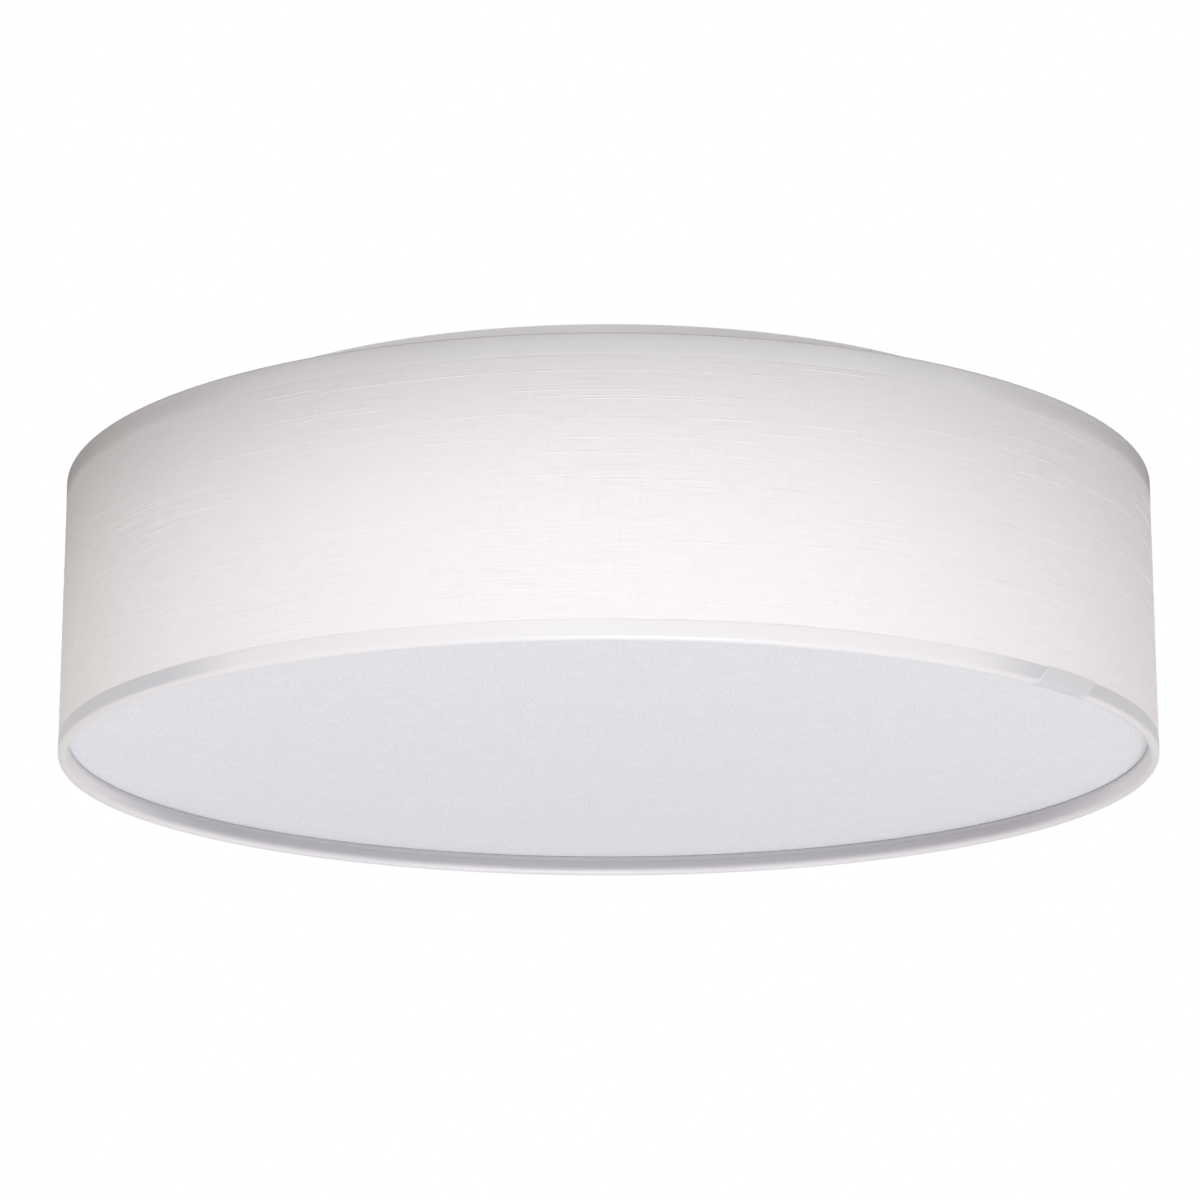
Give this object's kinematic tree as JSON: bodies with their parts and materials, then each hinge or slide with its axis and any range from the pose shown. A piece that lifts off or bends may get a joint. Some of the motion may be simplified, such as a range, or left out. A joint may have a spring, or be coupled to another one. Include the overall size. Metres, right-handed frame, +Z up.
{
  "type": "flush mount ceiling light",
  "caption": "Flush mount ceiling light: fabric drum shade with folded hems, recessed opal diffuser, steel pan and lamp holders.",
  "frame": {"origin": "middle of the mounting strap's slots, on the ceiling face of the strap and pan", "axes": "+Z up into the ceiling along the drum's axis; the strap and its slots lie along X; the terminal block is on the -Y side"},
  "size_m": [0.3999, 0.4, 0.118],
  "materials": {
    "shade_fabric": "plain woven slub fabric, matte",
    "hem_tape": "folded bias tape, slight satin sheen",
    "shade_liner": "white styrene sheet, matte",
    "opal_acrylic": "opal acrylic sheet, satin",
    "white_steel": "white powder coat, fine texture",
    "ring_wire": "white epoxy coated steel wire",
    "zinc_steel": "bright zinc plate",
    "nickel_steel": "nickel plate, knurled",
    "brass": "plain brass",
    "nickel_brass": "nickel plated brass, rolled thread",
    "holder_plastic": "white heat-resistant thermoset, matte",
    "terminal_plastic": "natural polyamide, satin",
    "grommet_rubber": "black rubber, matte",
    "live_insulation": "brown silicone insulation",
    "neutral_insulation": "blue silicone insulation",
    "earth_insulation": "green and yellow insulation",
    "bulb_glass": "opal diffusing cover, satin",
    "bulb_body": "white bulb housing, satin"
  },
  "bodies": {
    "fixture": {"ceiling_pan": "white_steel", "lead_grommet": "grommet_rubber", "mounting_strap": "zinc_steel", "pan_screws": "zinc_steel", "bracket_screws": "zinc_steel", "bracket_nuts": "zinc_steel", "earth_screw": "zinc_steel", "earth_nut": "zinc_steel", "earth_lug": "zinc_steel", "earth_lead": "earth_insulation", "shade_studs": "zinc_steel", "terminal_block": "terminal_plastic", "terminal_poles": "brass", "block_screw": "zinc_steel", "holder_nipples": "zinc_steel", "ring_nuts": "zinc_steel", "holder_bracket_1": "zinc_steel", "lamp_holder_1": "holder_plastic", "screw_shell_1": "nickel_brass", "holder_contact_1": "brass", "live_lead_1": "live_insulation", "neutral_lead_1": "neutral_insulation", "holder_bracket_2": "zinc_steel", "lamp_holder_2": "holder_plastic", "screw_shell_2": "nickel_brass", "holder_contact_2": "brass", "live_lead_2": "live_insulation", "neutral_lead_2": "neutral_insulation", "holder_bracket_3": "zinc_steel", "lamp_holder_3": "holder_plastic", "screw_shell_3": "nickel_brass", "holder_contact_3": "brass", "live_lead_3": "live_insulation", "neutral_lead_3": "neutral_insulation"},
    "shade": {"shade_liner": "shade_liner", "shade_fabric": "shade_fabric", "top_hem_tape": "hem_tape", "bottom_hem_tape": "hem_tape", "top_ring": "ring_wire", "bottom_hoop": "ring_wire", "frame_arm_1": "ring_wire", "frame_arm_2": "ring_wire", "frame_arm_3": "ring_wire"},
    "diffuser": {"diffuser": "opal_acrylic"},
    "bulb_1": {"bulb_tip_1": "brass", "bulb_cap_1": "nickel_brass", "bulb_housing_1": "bulb_body", "bulb_globe_1": "bulb_glass"},
    "bulb_2": {"bulb_tip_2": "brass", "bulb_cap_2": "nickel_brass", "bulb_housing_2": "bulb_body", "bulb_globe_2": "bulb_glass"},
    "bulb_3": {"bulb_tip_3": "brass", "bulb_cap_3": "nickel_brass", "bulb_housing_3": "bulb_body", "bulb_globe_3": "bulb_glass"},
    "thumb_nut_1": {"thumb_nut_1": "nickel_steel"},
    "thumb_nut_2": {"thumb_nut_2": "nickel_steel"},
    "thumb_nut_3": {"thumb_nut_3": "nickel_steel"}
  },
  "joints": [
    {"name": "shade_drop", "type": "slide", "parent": "fixture", "child": "shade", "axis": [0, 0, -1], "range_m": [0, 0.12]},
    {"name": "diffuser_lift", "type": "slide", "parent": "shade", "child": "diffuser", "axis": [0, 0, 1], "range_m": [0, 0.01]},
    {"name": "thumb_nut_1_turn", "type": "hinge", "parent": "shade", "child": "thumb_nut_1", "pos_m": [0.09093, 0.0525, -0.0274], "axis": [0, 0, 1], "continuous": true},
    {"name": "thumb_nut_2_turn", "type": "hinge", "parent": "shade", "child": "thumb_nut_2", "pos_m": [-0.09093, 0.0525, -0.0274], "axis": [0, 0, 1], "continuous": true},
    {"name": "thumb_nut_3_turn", "type": "hinge", "parent": "shade", "child": "thumb_nut_3", "pos_m": [0, -0.105, -0.0274], "axis": [0, 0, 1], "continuous": true},
    {"name": "bulb_1_unscrew", "type": "slide", "parent": "fixture", "child": "bulb_1", "axis": [0, 1, 0], "range_m": [0, 0.03]},
    {"name": "bulb_2_unscrew", "type": "slide", "parent": "fixture", "child": "bulb_2", "axis": [-0.866, -0.5, 0], "range_m": [0, 0.03]},
    {"name": "bulb_3_unscrew", "type": "slide", "parent": "fixture", "child": "bulb_3", "axis": [0.866, -0.5, 0], "range_m": [0, 0.03]}
  ]
}
